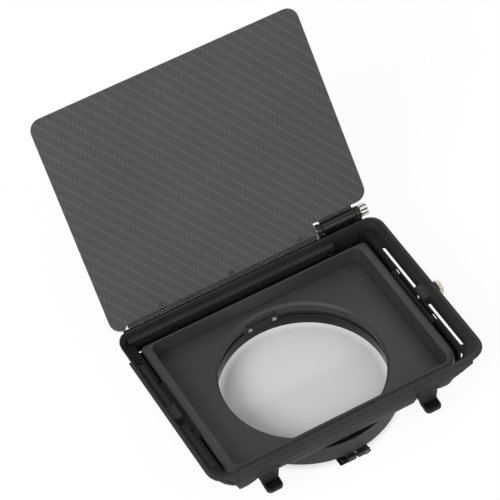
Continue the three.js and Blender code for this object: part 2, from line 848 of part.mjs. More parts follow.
function middleBlock(side) {
  const x = [side * blockInner, side * blockOuter].sort((a, b) => a - b);
  return block(x, [-blockWidth / 2, blockWidth / 2], [thumbZ - blockHeight / 2, thumbZ + blockHeight / 2]);
}

function hoodFrame() {
  const boss = bar('x', wallSide, hoodSide + bossLength, bossRadius, [0, thumbZ], headSides);
  const thumbHole = bar('x', openingSide, hoodSide + bossLength + cutOverrun,
    thumbShankRadius + seatGap, [0, thumbZ]);
  const bushHole = bar('x', hoodSide + bossLength - bushLength, hoodSide + bossLength + cutOverrun,
    bushRadius + seatGap, [0, thumbZ], headSides);
  const bracketHoles = bracketScrewPlaces().map((x) => (
    bar('y', innerTop + faceGap, hoodTop + cutOverrun, bracketScrewRadius + seatGap,
      [x, bracketMiddleZ])));
  const barHoles = [barScrewLeft, barScrewRight].map((x) => (
    bar('y', innerTop - cutOverrun, hoodTop - faceGap, barScrewRadius + seatGap, [x, barScrewZ])));
  const barSeat = block([barLeft - seatGap, barRight + seatGap],
    [innerTop - barDepth - seatGap, innerTop], [barBack - seatGap, barFront + seatGap]);
  const shell = carve(
    fuse(frameLoft(rimSections()), ledgePlate(), skirt()),
    ...sideSlots(), sideCutout(-1), sideCutout(1), barSeat, cornerRelief());
  const whole = fuse(shell, bottomWallSolid(), topRib(), ...claws(),
    middleBlock(-1), middleBlock(1), boss);
  return piece('hood_frame', carve(whole, thumbHole, bushHole,
    latchNotch(latchLeftX), latchNotch(latchRightX), latchPinHole(latchLeftX), latchPinHole(latchRightX),
    ...bracketHoles, ...barHoles), moulded);
}

// Bar above the stage

const barLeft = -stageSide - barLeftReach;
const barRight = stageSide - barRightInset;
const barScrewLeft = barLeft + barScrewLeftInset;
const barScrewRight = barRight - barScrewRightInset;
const barFront = ledgeZ + barHeight - barDrop - ledgeRise / 2;
const barBack = barFront - barHeight;
const barScrewZ = barBack + barScrewHeight;

function topBar() {
  const face = innerTop - barDepth;
  const profile = [
    [face, barBack], [innerTop, barBack], [innerTop, barFront],
    [face + barChamfer, barFront], [face, barFront - barChamfer],
  ];
  const holes = [barScrewLeft, barScrewRight].map((x) => (
    bar('y', face - cutOverrun, innerTop + cutOverrun, barScrewRadius + seatGap, [x, barScrewZ])));
  return piece('top_bar', carve(sideways(profile, barLeft, barRight), ...holes), moulded);
}

function topBarScrews() {
  const seat = innerTop - barDepth;
  return screwSet('top_bar_screw', [barScrewLeft, barScrewRight], (x) => fuse(
    bar('y', seat - barScrewHeadHeight, seat, barScrewHeadRadius, [x, barScrewZ], headSides),
    bar('y', seat - barScrewHeadHeight, hoodTop - 2 * faceGap, barScrewRadius, [x, barScrewZ])));
}

// Side rests and thumbscrew

function sideRest(side, tabReach) {
  const inner = stageSide + seatGap;
  const back = floorZ + restBottom;
  const front = back + restHeight;
  const span = (from, to) => [side * from, side * to].sort((a, b) => a - b);
  const strip = block(span(inner, inner + restWidth), [restFoot, restTop], [back, front]);
  const tab = (low, length) => block(span(inner, inner + restWidth + tabReach),
    [low, low + length], [front - restTabThickness, front]);
  return fuse(strip, tab(restTop - restTabLengthEnd, restTabLengthEnd), tab(restFoot, restTabLengthFoot));
}

function leftRest() {
  const reach = openingSide + cutoutDepth - (stageSide + seatGap + restWidth);
  return piece('side_rest_left', sideRest(-1, reach), moulded);
}

function rightClampPad() {
  return piece('side_clamp_right', sideRest(1, restTabShort), moulded);
}

function thumbBush() {
  const front = hoodSide + bossLength;
  const body = bar('x', front - bushLength, front, bushRadius, [0, thumbZ], headSides);
  const hole = bar('x', front - bushLength - cutOverrun, front + cutOverrun,
    thumbShankRadius + seatGap, [0, thumbZ]);
  return piece('thumb_bush', carve(body, hole), brass);
}

function thumbScrew() {
  const headStart = hoodSide + bossLength + seatGap;
  const tip = stageSide + restWidth + 2 * seatGap;
  const head = knurled(headStart, headStart + thumbHeadLength, thumbHeadRadius, thumbRidges, thumbRidge,
    [0, thumbZ]);
  const shank = bar('x', tip, headStart + thumbHeadLength, thumbShankRadius, [0, thumbZ]);
  return piece('clamp_thumbscrew', fuse(head, shank), steel);
}

// Latches, in the frame of their pivot pins

function latchLever(name) {
  const half = latchWidth / 2;
  const plateBackZ = plateBack - faceGap - latchPivotHeight;
  const hookBack = plateBackZ - latchHookThickness;
  const tabTop = -latchTabDrop;
  const knuckle = bar('x', -half, half, latchKnuckleRadius, [0, 0], headSides);
  const [tabLeft, tabRight] = [latchTabShift - latchTabWidth / 2, latchTabShift + latchTabWidth / 2];
  const tabBack = tabTop - latchTabThickness;
  const plate = upright([
    [-half, 0], [-half, -latchWaistDrop], [tabLeft, tabTop], [tabLeft, tabBack],
    [tabRight, tabBack], [tabRight, tabTop], [half, -latchWaistDrop], [half, 0],
  ], -latchPlate / 2, latchPlate / 2);
  const web = block([latchHookOffset - latchHookWidth / 2, latchHookOffset + latchHookWidth / 2],
    [-latchPlate / 2, latchPlate / 2], [hookBack, 0]);
  const hookReach = stageBottom + latchHookOverlap - latchPivotY;
  const hook = block([latchHookOffset - latchHookWidth / 2, latchHookOffset + latchHookWidth / 2],
    [-latchPlate / 2, hookReach], [hookBack, plateBackZ]);
  const tab = fuse(knuckle, plate, web, hook, latchTab());
  const boreHole = bar('x', -half - cutOverrun, half + cutOverrun, latchPinRadius + seatGap, [0, 0]);
  const springReach = latchSpringLength / 2 + seatGap;
  const springRoom = latchPinRadius + latchSpringWall + 2 * seatGap;
  const springBore = bar('x', -springReach, springReach, springRoom, [0, 0]);
  const springSlot = block([-springReach, springReach], [0, latchKnuckleRadius + cutOverrun],
    [-springRoom, springRoom]);
  return piece(name, carve(tab, boreHole, springBore, springSlot), moulded);
}

function tabOutline(margin) {
  const half = latchTabWidth / 2 - margin;
  const [left, right] = [latchTabShift - half, latchTabShift + half];
  const tip = -latchPlate / 2 - latchTabReach + margin;
  const root = -latchPlate / 2 - margin;
  const corner = latchTabCorner - margin / 2;
  return filleted([[right, root, 0], [left, root, 0], [left, tip, corner], [right, tip, corner]]);
}

function slopedSlab(top, thickness, half) {
  const root = -latchPlate / 2;
  const tip = root - latchTabReach - cutOverrun;
  const fall = latchTabSlope * (latchTabReach + cutOverrun) / latchTabReach;
  return sideways([
    [root, top], [tip, top - fall], [tip, top - fall - thickness], [root, top - thickness],
  ], -half, half);
}

function latchTab() {
  const blank = plan(tabOutline(0), -latchTabDrop - latchTabSlope - latchTabThickness - cutOverrun, 0);
  return blank.intersect(slopedSlab(-latchTabDrop, latchTabThickness, latchWidth));
}

function latchPad(name) {
  const blank = plan(tabOutline(latchPadMargin), -latchTabDrop - latchTabSlope - cutOverrun, 0);
  return piece(name, blank.intersect(
    slopedSlab(-latchTabDrop + seatGap + latchPadThickness, latchPadThickness, latchWidth)), glossBlack);
}

function latchPin(name) {
  const reach = latchHalf + latchPinEngage - faceGap;
  return piece(name, bar('x', -reach, reach, latchPinRadius, [0, 0]), steel);
}

function latchSpring(name) {
  const inner = latchPinRadius + seatGap;
  const half = latchSpringLength / 2;
  return piece(name, carve(
    bar('x', -half, half, inner + latchSpringWall, [0, 0], headSides),
    bar('x', -half - cutOverrun, half + cutOverrun, inner, [0, 0])), steel);
}

function latch(side, x) {
  const group = new THREE.Group();
  group.position.set(x, latchPivotY, latchPivotHeight);
  group.add(latchLever(`latch_lever_${side}`), latchPad(`latch_pad_${side}`),
    latchPin(`latch_pin_${side}`), latchSpring(`latch_spring_${side}`));
  return group;
}

// Hinge of the flag

const bracketRight = bracketLeft + bracketLength;
const bracketFront = hingeAxisZ - bracketDrop;
const bracketMiddleZ = bracketFront - bracketHeight / 2;
const leftEarEnd = bracketLeft + earLeafThickness;
const rightEarStart = bracketRight - earLeafThickness;
const knuckleStart = leftEarEnd + washerThickness + 2 * knuckleGap;
const knuckleEnd = rightEarStart - knuckleGap;

function bracketScrewPlaces() {
  return [bracketLeft + bracketScrewInset, bracketRight - bracketScrewInset];
}

function hingeBracket() {
  const foot = [hoodTop, hoodTop + bracketThickness];
  const base = block([bracketLeft, bracketRight], foot, [bracketFront - bracketHeight, bracketFront]);
  const ear = (from) => {
    const neck = sideways([
      [foot[0], bracketFront - bracketHeight / 2], [hingeAxisY + earLeafRadius, hingeAxisZ],
      [foot[0] + seatGap, hingeAxisZ], [foot[0], bracketFront],
    ], from, from + earLeafThickness);
    const eye = bar('x', from, from + earLeafThickness, earLeafRadius, [hingeAxisY, hingeAxisZ], headSides);
    return fuse(neck, eye);
  };
  const hole = bar('x', bracketLeft - cutOverrun, bracketRight + cutOverrun,
    hingeScrewRadius + seatGap, [hingeAxisY, hingeAxisZ]);
  const screwHoles = bracketScrewPlaces().map((x) => (
    bar('y', hoodTop - cutOverrun, foot[1] + cutOverrun, bracketScrewRadius + seatGap,
      [x, bracketMiddleZ])));
  const saddle = block([bracketLeft, bracketRight], [hoodTop, hoodTop + saddleReach],
    [bracketFront - bracketThickness, hingeAxisZ - knuckleRadius - saddleGap]);
  const body = fuse(base, saddle, ear(bracketLeft), ear(rightEarStart));
  return piece('hinge_bracket', carve(body, hole, ...screwHoles), anodised);
}

function bracketScrews() {
  const seat = hoodTop + bracketThickness;
  return screwSet('bracket_screw', bracketScrewPlaces(), (x) => fuse(
    bar('y', seat, seat + bracketScrewHeadHeight, bracketScrewHeadRadius, [x, bracketMiddleZ], headSides),
    bar('y', innerTop + 2 * faceGap, seat + bracketScrewHeadHeight, bracketScrewRadius,
      [x, bracketMiddleZ])));
}

function frictionWasher() {
  const from = leftEarEnd + knuckleGap;
  const body = bar('x', from, from + washerThickness, washerRadius, [hingeAxisY, hingeAxisZ], headSides);
  const hole = bar('x', from - cutOverrun, from + washerThickness + cutOverrun,
    hingeScrewRadius + seatGap, [hingeAxisY, hingeAxisZ]);
  return piece('friction_washer', carve(body, hole), steel);
}

function hingeKnob() {
  const from = bracketRight + knuckleGap;
  const head = knurled(from, from + hingeKnobLength, hingeKnobRadius, hingeKnobRidges, hingeKnobRidge,
    [hingeAxisY, hingeAxisZ]);
  const shank = bar('x', bracketLeft + knuckleGap, from + hingeKnobLength, hingeScrewRadius,
    [hingeAxisY, hingeAxisZ]);
  return piece('hinge_knob', fuse(head, shank), steel);
}

// Top flag, drawn lying flat about its hinge

const flagBack = flagFace - flagThickness;
const leafFront = flagBack - seatGap;
const leafBack = leafFront - leafThickness;

function flagOutline() {
  const [left, right] = [flagShift - flagSide, flagShift + flagSide];
  return filleted([
    [left, flagTip, flagCorner], [left, -flagHeel, flagCorner],
    [flagLeafLeft - flagHeel / 2, -flagHeel, 0], [flagLeafLeft, -flagLeafEdge, 0],
    [flagNotchLeft, -flagLeafEdge, 0], [flagNotchLeft, flagNotchTop, 0],
    [right, flagNotchTop, flagCorner], [right, flagTip, flagCorner],
  ]);
}

function flagScrewPlaces() {
  const [first, last] = [flagLeafLeft + flagScrewLeftInset, flagNotchLeft - flagScrewRightInset];
  return [first, (first + last) / 2, last].map((x) => [x, flagScrewHeight]);
}

function flagPlate() {
  const sheet = plan(flagOutline(), flagBack, flagFace);
  const holes = flagScrewPlaces().map((place) => (
    bar('z', flagBack - cutOverrun, flagFace + cutOverrun, flagScrewRadius + seatGap, place)));
  return piece('flag_plate', carve(sheet, ...holes), carbon);
}

// The hinge leaf: a strip behind the plate, a foot along the plate's edge and the knuckle.
function hingeLeaf() {
  const strip = block([flagLeafLeft + seatGap, flagNotchLeft], [-flagHeel, leafRise],
    [leafBack, leafFront]);
  const foot = block([flagLeafLeft + seatGap, flagNotchLeft - seatGap],
    [-flagHeel, -flagLeafEdge - seatGap], [leafBack, flagFace - seatGap]);
  const riser = block([flagNotchLeft - leafBridgeBottom, flagNotchLeft], [-flagHeel, leafBridgeTop],
    [leafBack, leafFront]);
  const bridge = block([flagNotchLeft - leafBridgeBottom, knuckleEnd], [leafBridgeBottom, leafBridgeTop],
    [leafBack, leafFront]);
  const web = block([knuckleStart, knuckleEnd], [knuckleRadius / 2, leafBridgeTop],
    [leafBack - leafThickness / 2, leafFront]);
  const knuckle = bar('x', knuckleStart, knuckleEnd, knuckleRadius, [0, 0], headSides);
  const hole = bar('x', knuckleStart - cutOverrun, knuckleEnd + cutOverrun,
    hingeScrewRadius + seatGap, [0, 0]);
  const holes = flagScrewPlaces().map((place) => (
    bar('z', leafBack - cutOverrun, leafFront + cutOverrun, flagScrewRadius + seatGap, place)));
  const body = fuse(strip, foot, riser, bridge, web, knuckle);
  return piece('flag_hinge_leaf', carve(body, hole, ...holes), anodised);
}

function flagScrews() {
  const seat = flagFace + seatGap;
  return screwSet('flag_screw', flagScrewPlaces(), (place) => fuse(
    bar('z', seat, seat + flagScrewHeadHeight, flagScrewHeadRadius, place, headSides),
    bar('z', seat - flagScrewLength, seat + flagScrewHeadHeight, flagScrewRadius, place)));
}

function topFlag() {
  const group = new THREE.Group();
  group.position.set(0, hingeAxisY, hingeAxisZ);
  group.rotation.x = THREE.MathUtils.degToRad(flagTilt);
  group.add(flagPlate(), hingeLeaf(), ...flagScrews());
  return group;
}

// The whole matte box

const matteBox = new THREE.Group();
matteBox.add(
  clampRing(), clampScrew(), clampNut(),
  collarRing(), lightSeal(), boreClip(), ...boreClipScrews(), ...collarScrews(),
  stagePlate(), stageFrame(), ...stageScrews(),
  hoodFrame(), topBar(), ...topBarScrews(),
  leftRest(), rightClampPad(), thumbBush(), thumbScrew(),
  latch('left', latchLeftX), latch('right', latchRightX),
  hingeBracket(), ...bracketScrews(), frictionWasher(), hingeKnob(),
  topFlag(),
);

export default matteBox;
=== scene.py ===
"""The looks of a clip-on matte box that lies on its clamp ring with its top flag open.
Metres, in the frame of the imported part: +Z along the lens axis, +Y towards the flag's hinge."""

import json
import math

import bmesh
import bpy
from mathutils import Matrix, Vector
from mathutils.bvhtree import BVHTree
from mathutils.kdtree import KDTree


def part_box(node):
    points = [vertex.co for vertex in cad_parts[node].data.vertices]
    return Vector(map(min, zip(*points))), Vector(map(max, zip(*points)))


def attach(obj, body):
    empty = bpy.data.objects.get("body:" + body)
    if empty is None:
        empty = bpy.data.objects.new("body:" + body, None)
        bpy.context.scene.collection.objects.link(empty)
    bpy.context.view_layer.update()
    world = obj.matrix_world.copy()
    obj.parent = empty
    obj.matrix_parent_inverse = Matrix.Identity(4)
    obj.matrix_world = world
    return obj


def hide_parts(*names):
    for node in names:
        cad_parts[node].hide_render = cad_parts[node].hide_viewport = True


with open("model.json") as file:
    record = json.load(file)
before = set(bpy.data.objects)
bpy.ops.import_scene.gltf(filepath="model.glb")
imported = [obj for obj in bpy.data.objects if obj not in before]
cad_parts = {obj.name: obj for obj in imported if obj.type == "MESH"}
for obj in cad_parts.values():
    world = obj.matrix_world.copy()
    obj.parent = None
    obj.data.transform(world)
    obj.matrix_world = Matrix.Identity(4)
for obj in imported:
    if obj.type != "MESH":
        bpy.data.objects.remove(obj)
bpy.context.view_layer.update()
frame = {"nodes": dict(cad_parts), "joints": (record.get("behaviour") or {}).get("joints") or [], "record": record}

MM = 0.001
ACROSS = Vector((1, 0, 0))
BODY_OF = {node: body for body, nodes in frame["record"]["behaviour"]["bodies"].items() for node in nodes}
SLOT_OF = {row["node"]: row["material_slot"] for row in frame["record"]["subparts"]}
JOINT = {joint["name"]: joint for joint in frame["joints"]}


# Places taken from the frame

HINGE = Vector(JOINT["flag_hinge"]["pos_m"])
STAGE_LOW, STAGE_HIGH = [Vector(corner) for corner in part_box("stage_frame")]
RIB_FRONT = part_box("hinge_bracket")[0][1]
SHELF_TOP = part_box("collar_ring")[1][2]
FLAG_END_BAND = 2 * MM


def flag_tilt():
    """The angle of the flag's plane, from the upper corners of its plate's two ends."""
    points = [vertex.co for vertex in frame["nodes"]["flag_plate"].data.vertices]

    def upper_corner(end):
        return max((p for p in points if abs(p.y - end) < FLAG_END_BAND), key=lambda p: p.z)

    heel = upper_corner(min(p.y for p in points))
    top = upper_corner(max(p.y for p in points))
    return math.atan2(top.z - heel.z, top.y - heel.y)


FLAG_TILT = flag_tilt()
FLAG_FACE = Vector((0, -math.sin(FLAG_TILT), math.cos(FLAG_TILT)))


# Shader graphs

EDGE_SAMPLES = 4
EDGE_FROM, EDGE_FULL = 0.995, 0.86  # dot products of the soft and the true normal
LINE_ROUGHNESS = 0.6
BLUE_TINT = 1.03
# The parts of a noise's values that finishes stretch over a whole range
CORE = (0.35, 0.65)
BROAD = (0.3, 0.7)


class Graph:
    """The nodes of a material or a world, and short ways to add and join them."""

    def __init__(self, owner, output_kind):
        self.owner = owner
        owner.use_nodes = True
        self.tree = owner.node_tree
        self.tree.nodes.clear()
        self.output = self.add(output_kind)

    def put(self, value, socket):
        if isinstance(value, bpy.types.NodeSocket):
            self.tree.links.new(value, socket)
        else:
            socket.default_value = value

    def add(self, kind, inputs=None, **settings):
        node = self.tree.nodes.new(kind)
        for key, value in settings.items():
            setattr(node, key, value)
        for key, value in (inputs or {}).items():
            self.put(value, node.inputs[key])
        return node

    def math(self, operation, *values):
        return self.add("ShaderNodeMath", dict(enumerate(values)), operation=operation).outputs[0]

    def product(self, first, *others):
        for value in others:
            first = self.math("MULTIPLY", first, value)
        return first

    def plus(self, total, *parts):
        """A value with others added, each times its share."""
        for value, share in parts:
            total = self.math("MULTIPLY_ADD", value, share, total)
        return total

    def weighted(self, *parts):
        """The sum of values, each times its share."""
        return self.plus(0.0, *parts)

    def seen(self):
        """1 for the rays that look at something, direct, mirrored or through, and 0 for those that light."""
        ray = self.add("ShaderNodeLightPath").outputs
        direct = self.math("MAXIMUM", ray["Is Camera Ray"], ray["Is Glossy Ray"])
        return self.math("MAXIMUM", direct, ray["Is Transmission Ray"])

    def end(self, shader):
        """Joins a shader to the output and gives back what the graph belongs to."""
        self.put(shader.outputs[0], self.output.inputs["Surface"])
        return self.owner

    def end_mixed(self, factor, first, second):
        """Ends with the first shader where the factor is 0 and the second where it is 1."""
        shaders = {0: factor, 1: first.outputs[0], 2: second.outputs[0]}
        return self.end(self.add("ShaderNodeMixShader", shaders))


class Finish(Graph):
    """The graph of one material, in the object's own coordinates."""

    def __init__(self, name):
        super().__init__(bpy.data.materials.new(name), "ShaderNodeOutputMaterial")
        self.place = self.add("ShaderNodeTexCoord").outputs["Object"]

    def axes(self, place=None):
        return self.add("ShaderNodeSeparateXYZ", {"Vector": place or self.place}).outputs

    def turned(self, place, axis, angle):
        turn = {"Vector": place, "Angle": angle}
        return self.add("ShaderNodeVectorRotate", turn, rotation_type=axis).outputs[0]

    def noise(self, size, detail=2.0, roughness=0.5, place=None):
        """Soft noise whose features are about that size across."""
        return self.add("ShaderNodeTexNoise", {
            "Vector": place or self.place, "Scale": 1 / size, "Detail": detail, "Roughness": roughness,
        }).outputs["Fac"]

    def lines(self, density, detail, place=None):
        """Noise drawn out into lines, with its features per metre along each axis."""
        drawn = self.add("ShaderNodeMapping", {"Vector": place or self.place, "Scale": density})
        return self.noise(1.0, detail, LINE_ROUGHNESS, drawn.outputs[0])

    def cells(self, size):
        return self.add("ShaderNodeTexVoronoi", {
            "Vector": self.place, "Scale": 1 / size}).outputs["Distance"]

    def remap(self, value, low, high, new_low=0.0, new_high=1.0):
        return self.add("ShaderNodeMapRange", {
            0: value, 1: low, 2: high, 3: new_low, 4: new_high}).outputs[0]

    def fade(self, value, start, span, new_low=0.0, new_high=1.0):
        """Fades between two distances past a start."""
        return self.remap(value, start + span[0], start + span[1], new_low, new_high)

    def blend(self, factor, first, second):
        colours = {"Factor": factor, 6: first, 7: second}
        return self.add("ShaderNodeMix", colours, data_type="RGBA").outputs[2]

    def greys(self, value, window, dark, pale):
        """A grey that drifts with a noise's value."""
        return self.blend(self.remap(value, *window), grey(dark), grey(pale))

    def soft_edges(self, radius):
        """Normals that turn gently over each edge."""
        return self.add("ShaderNodeBevel", {"Radius": radius}, samples=EDGE_SAMPLES).outputs["Normal"]

    def edges(self, radius):
        """0 on flat ground, up to 1 along the convex and concave edges."""
        normals = {0: self.soft_edges(radius), 1: self.add("ShaderNodeNewGeometry").outputs["Normal"]}
        facing = self.add("ShaderNodeVectorMath", normals, operation="DOT_PRODUCT")
        return self.remap(facing.outputs["Value"], EDGE_FROM, EDGE_FULL)

    def bump(self, height, depth, strength, normal=None):
        inputs = {"Height": height, "Distance": depth, "Strength": strength}
        if normal is not None:
            inputs["Normal"] = normal
        return self.add("ShaderNodeBump", inputs).outputs["Normal"]

    def surface(self, **values):
        inputs = {key.replace("_", " "): value for key, value in values.items()}
        return self.end(self.add("ShaderNodeBsdfPrincipled", inputs))


def grey(value):
    """A near-black or grey with the slight blue of the photographed plastics."""
    return (value, value, value * BLUE_TINT, 1)


# Shade that the photograph shows in the hood: each span runs from no shade to full shade

BESIDE_SPAN = (8.8 * MM, 8.2 * MM)   # past the stage's left and right sides
FOOT_SPAN = (-3.2 * MM, -2.2 * MM)   # past its lower side
TOP_SPAN = (6.2 * MM, 5.8 * MM)      # past its upper side
FRONT_SPAN = (5 * MM, 2 * MM)        # past its front
LEDGE_SPAN = (1 * MM, -3 * MM)       # past its front, from the ledges down
LEDGE_SHADE, DEEP_SHADE, RIB_SHADE, GAP_SHADE = 0.7, 0.97, 0.9, 0.95
RIB_SPAN = (0.1 * MM, 0.5 * MM)
GAP_SPAN = (-49.5 * MM, -51.5 * MM)
SHELF_SPAN = (-0.5 * MM, -0.25 * MM)


def painted_shade_under_rim(g):
    """Painted shade: how dark a place is painted, most deep inside the hood, less on its ledges and the rib behind
    it.
    """
    axes = g.axes()
    beside = g.fade(g.math("ABSOLUTE", axes["X"]), STAGE_HIGH.x, BESIDE_SPAN)
    above_foot = g.fade(axes["Y"], STAGE_LOW.y, FOOT_SPAN)
    below_top = g.fade(axes["Y"], STAGE_HIGH.y, TOP_SPAN)
    behind_front = g.fade(axes["Z"], STAGE_HIGH.z, FRONT_SPAN)
    depth = g.fade(axes["Z"], STAGE_HIGH.z, LEDGE_SPAN, LEDGE_SHADE, DEEP_SHADE)
    inside = g.product(beside, behind_front, above_foot, below_top, depth)
    on_rib = g.fade(axes["Y"], RIB_FRONT, RIB_SPAN)
    return g.math("MAXIMUM", inside, g.product(on_rib, RIB_SHADE))


def painted_shade_below_wall(g):
    """Painted shade: how dark the collar's shelf is painted in the gap below the hood's bottom wall."""
    axes = g.axes()
    outward = g.remap(axes["Y"], *GAP_SPAN)
    return g.product(outward, g.fade(axes["Z"], SHELF_TOP, SHELF_SPAN), GAP_SHADE)


# Finishes

MOULD_GRAIN = 0.28 * MM
TOW = 2.0 * MM
TWILL_ANGLE = math.radians(6.6)
TWILL_FLOAT = 2.0                     # tows that each tow passes over, and then under
TWILL_REPEAT = 4.0
WARP_FIBRES = (9000, 500, 500)
WEFT_FIBRES = (500, 9000, 500)
STREAKS = (700, 90, 200)
TURNING_LINES = (400, 5200, 5200)


def moulded(name, level, rough, specular):
    """Grained injection-moulded plastic, a little polished along its edges and paler there, partly from wear and
    partly by a painted highlight, and darker and duller under the hood's rim by painted shade."""
    g = Finish(name)
    dark, pale, wear_and_highlight_pale, shaded = [level * share for share in (0.82, 1.18, 2.1, 0.06)]
    wear_and_highlight_noise, wear_and_highlight_least, wear_and_highlight_most = (0.35, 0.7), 0.25, 0.8
    rough_least, rough_most, worn_polish, shade_dulling = rough - 0.05, rough + 0.07, -0.1, 0.35
    mottle = g.noise(2.4 * MM, detail=4, roughness=0.6)
    tone = g.weighted((g.noise(22 * MM, detail=3), 0.7), (mottle, 0.3))
    handling = g.remap(g.noise(3 * MM, detail=3), *wear_and_highlight_noise, wear_and_highlight_least, wear_and_highlight_most)
    # Paler edges: partly wear and partly a painted highlight.
    wear_and_highlight = g.product(g.edges(0.5 * MM), handling)
    shade = painted_shade_under_rim(g)
    colour = g.greys(tone, CORE, dark, pale)
    colour = g.blend(wear_and_highlight, colour, grey(wear_and_highlight_pale))
    colour = g.blend(shade, colour, grey(shaded))
    roughness = g.plus(g.remap(mottle, *BROAD, rough_least, rough_most),
                       (wear_and_highlight, worn_polish), (shade, shade_dulling))
    pits, fine = g.cells(MOULD_GRAIN), g.noise(MOULD_GRAIN * 0.6, detail=3, roughness=0.7)
    height = g.weighted((pits, 0.6), (fine, 0.5))
    return g.surface(Base_Color=colour, Roughness=roughness, Specular_IOR_Level=specular,
                     Normal=g.bump(height, depth=0.035 * MM, strength=0.55, normal=g.soft_edges(0.3 * MM)))


def stage_plastic():
    """Satin plastic with faint rubbed streaks, a few specks of dust, edges paler partly from wear and partly by a
    painted highlight, painted light that makes it paler towards the top, and painted shade below the hood's wall.
    """
    g = Finish("satin_stage_plastic")
    dark, pale, wear_and_highlight_pale, painted_light_pale = [0.035 * share for share in (0.88, 1.13, 2.8, 1.9)]
    dust, gap = 0.3, 0.001
    wear_and_highlight_most, painted_light_most, dust_most = 0.8, 0.4, 0.35
    bloom_and_painted_light_span = (-45 * MM, 55 * MM)
    speck_span = (0.045, 0.03)
    rough_least, rough_most = 0.42, 0.55
    streaks = g.lines(STREAKS, detail=4)
    tone = g.weighted((g.noise(30 * MM, detail=3), 0.65), (streaks, 0.35))
    colour = g.greys(tone, CORE, dark, pale)
    # Paler edges: partly wear and partly a painted highlight along them.
    colour = g.blend(g.product(g.edges(0.4 * MM), wear_and_highlight_most), colour, grey(wear_and_highlight_pale))
    # Painted light: paler towards the top, where the plate is lit more.
    colour = g.blend(g.remap(g.axes()["Y"], *bloom_and_painted_light_span, 0, painted_light_most), colour, grey(painted_light_pale))
    colour = g.blend(g.remap(g.cells(3.2 * MM), *speck_span, 0, dust_most), colour, grey(dust))
    # Painted shade on the collar's shelf in the gap below the hood's wall.
    colour = g.blend(painted_shade_below_wall(g), colour, grey(gap))
    fine = g.noise(0.14 * MM, detail=3, roughness=0.7)
    return g.surface(Base_Color=colour, Roughness=g.remap(streaks, *BROAD, rough_least, rough_most),
                     Specular_IOR_Level=0.28,
                     Normal=g.bump(fine, depth=0.02 * MM, strength=0.45, normal=g.soft_edges(0.3 * MM)))


def anodised(name, edge_wear_and_highlight, edge):
    """Black anodised aluminium, bead-blasted, with brighter edges of that width, partly bare from handling and
    partly a painted highlight.
    """
    g = Finish(name)
    dark, pale, bare_and_highlight = 0.006, 0.011, 0.3
    rough_least, rough_most = 0.15, 0.22
    drift = g.noise(9 * MM, detail=3)
    colour = g.greys(drift, CORE, dark, pale)
    # Brighter edges: partly bare metal worn through, partly a painted highlight.
    colour = g.blend(g.product(g.edges(edge), edge_wear_and_highlight), colour, grey(bare_and_highlight))
    blast = g.noise(0.12 * MM, detail=4, roughness=0.7)
    return g.surface(Base_Color=colour, Roughness=g.remap(drift, *BROAD, rough_least, rough_most),
                     Specular_IOR_Level=0.35,
                     Normal=g.bump(blast, depth=0.012 * MM, strength=0.5, normal=g.soft_edges(0.2 * MM)))


def crown(g, share):
    """A round top over a share of 0 to 1, and a hollow over 1 to 2."""
    return g.math("SINE", g.product(share, math.pi))


def tow_height(g, across, step):
    """A tow's height, from the place across it and from its step along, where it dips to pass under."""
    along_float = crown(g, g.math("DIVIDE", step, TWILL_FLOAT))
    return g.product(g.math("SQRT", crown(g, across)), g.math("MAXIMUM", along_float, 0.0))


